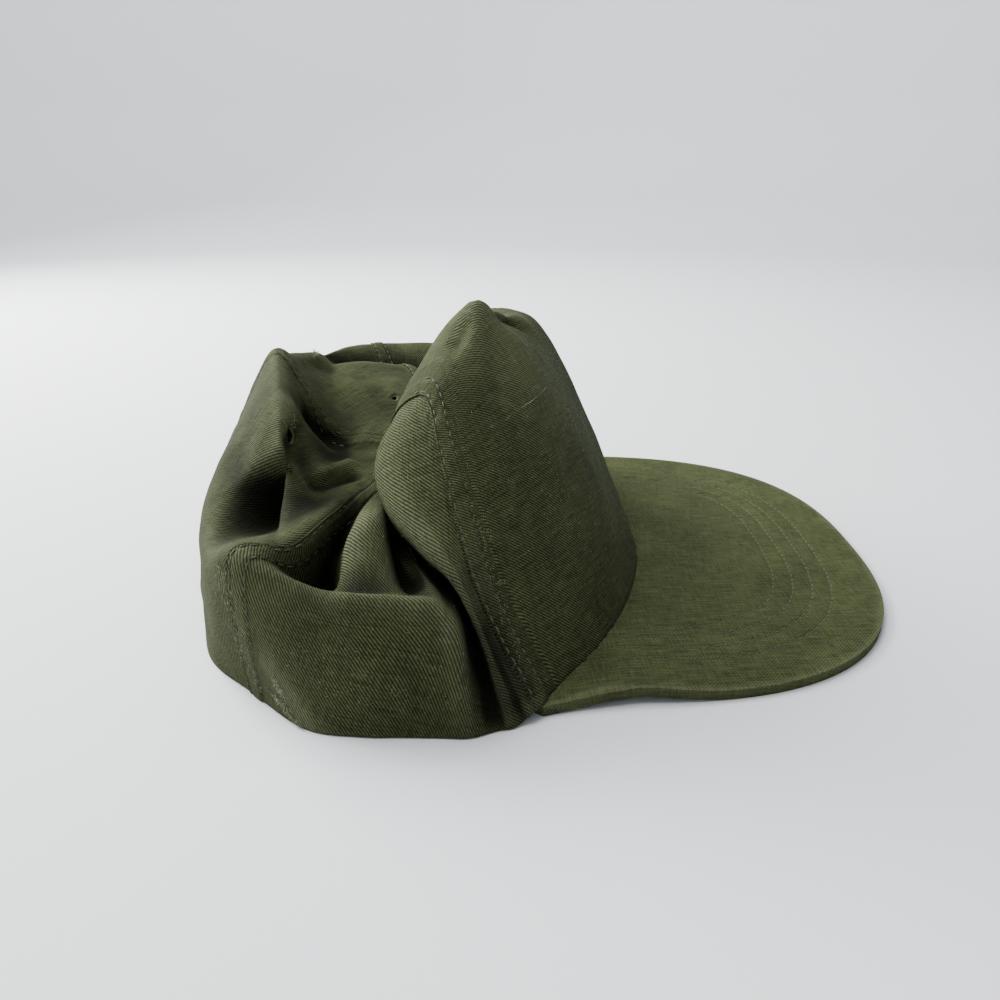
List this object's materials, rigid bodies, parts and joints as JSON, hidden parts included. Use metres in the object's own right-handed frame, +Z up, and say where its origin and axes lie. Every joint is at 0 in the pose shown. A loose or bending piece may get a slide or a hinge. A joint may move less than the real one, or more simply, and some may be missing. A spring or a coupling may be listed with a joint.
{
  "type": "patrol cap",
  "caption": "Soft cotton twill patrol cap lying on a surface with its crown fallen in and its flat stitched peak to one side; open underneath for the head.",
  "frame": {"origin": "middle of the cap's box, on the surface that it lies on", "axes": "+X towards the tip of the peak, +Y towards the wearer's left, +Z up"},
  "size_m": [0.239, 0.2202, 0.0968],
  "materials": {
    "olive_twill": "washed cotton twill, matt, with worn pale fibres along the seams and the rear hem",
    "peak_twill": "the same twill over a stiff peak, sewn with rows of pale stitches",
    "eyelet_thread": "matt cotton thread sewn round the hole"
  },
  "bodies": {
    "root": {"front_panel": "olive_twill", "right_side_panel": "olive_twill", "right_back_panel": "olive_twill", "left_back_panel": "olive_twill", "left_side_panel": "olive_twill", "peak": "peak_twill", "right_eyelet": "eyelet_thread", "left_eyelet": "eyelet_thread"}
  },
  "joints": []
}
